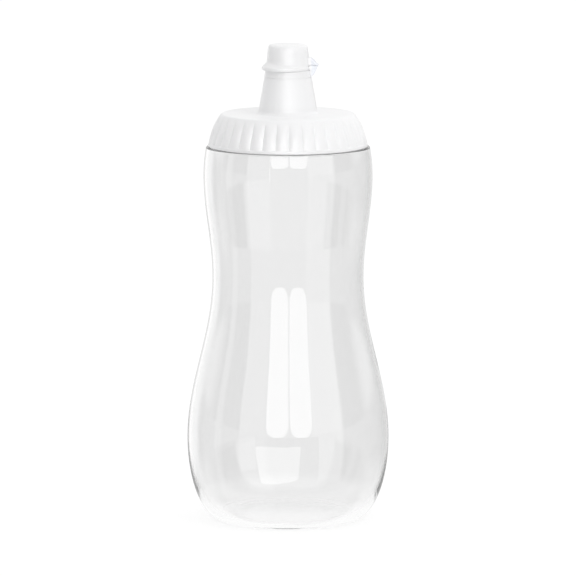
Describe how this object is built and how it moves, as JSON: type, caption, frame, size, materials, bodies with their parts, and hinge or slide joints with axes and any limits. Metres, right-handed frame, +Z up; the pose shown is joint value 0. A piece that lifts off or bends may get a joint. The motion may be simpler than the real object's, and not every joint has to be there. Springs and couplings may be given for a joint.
{
  "type": "dispensing sauce bottle with flip cap",
  "caption": "Clear squeeze bottle for sauce with a drawn-in waist, a white screw lid with a fluted grip, a pouring nozzle and a hinged flip cap.",
  "frame": {"origin": "centre of the base, on the table that the bottle stands on", "axes": "+Z up along the bottle's axis, +X towards the flip cap's hinge, -Y towards the viewer of the picture"},
  "size_m": [0.0782, 0.0782, 0.185],
  "materials": {
    "clear_bottle": "clear, glossy",
    "white_lid": "glossy",
    "white_cap": "glossy",
    "hinge_plastic": "satin, slightly translucent",
    "soft_seal": "matte"
  },
  "bodies": {
    "bottle": {"bottle": "clear_bottle"},
    "seal": {"seal_ring": "soft_seal"},
    "lid": {"screw_lid": "white_lid", "hinge_collar": "hinge_plastic", "hinge_film": "hinge_plastic"},
    "cap": {"flip_cap": "white_cap"}
  },
  "joints": [
    {"name": "lid_lift", "type": "slide", "parent": "bottle", "child": "seal", "axis": [0, 0, 1], "range_m": [0, 0.00847]},
    {"name": "lid_turn", "type": "hinge", "parent": "seal", "child": "lid", "pos_m": [0, 0, 0.1504], "axis": [0, 0, 1], "range_deg": [0, 720]},
    {"name": "cap_flip", "type": "hinge", "parent": "lid", "child": "cap", "pos_m": [0.0114, 0, 0.1771], "axis": [0, 1, 0], "range_deg": [0, 170]}
  ],
  "couplings": [
    {"joint": "lid_lift", "follows": "lid_turn", "m_per_rad": 0.00067322}
  ]
}
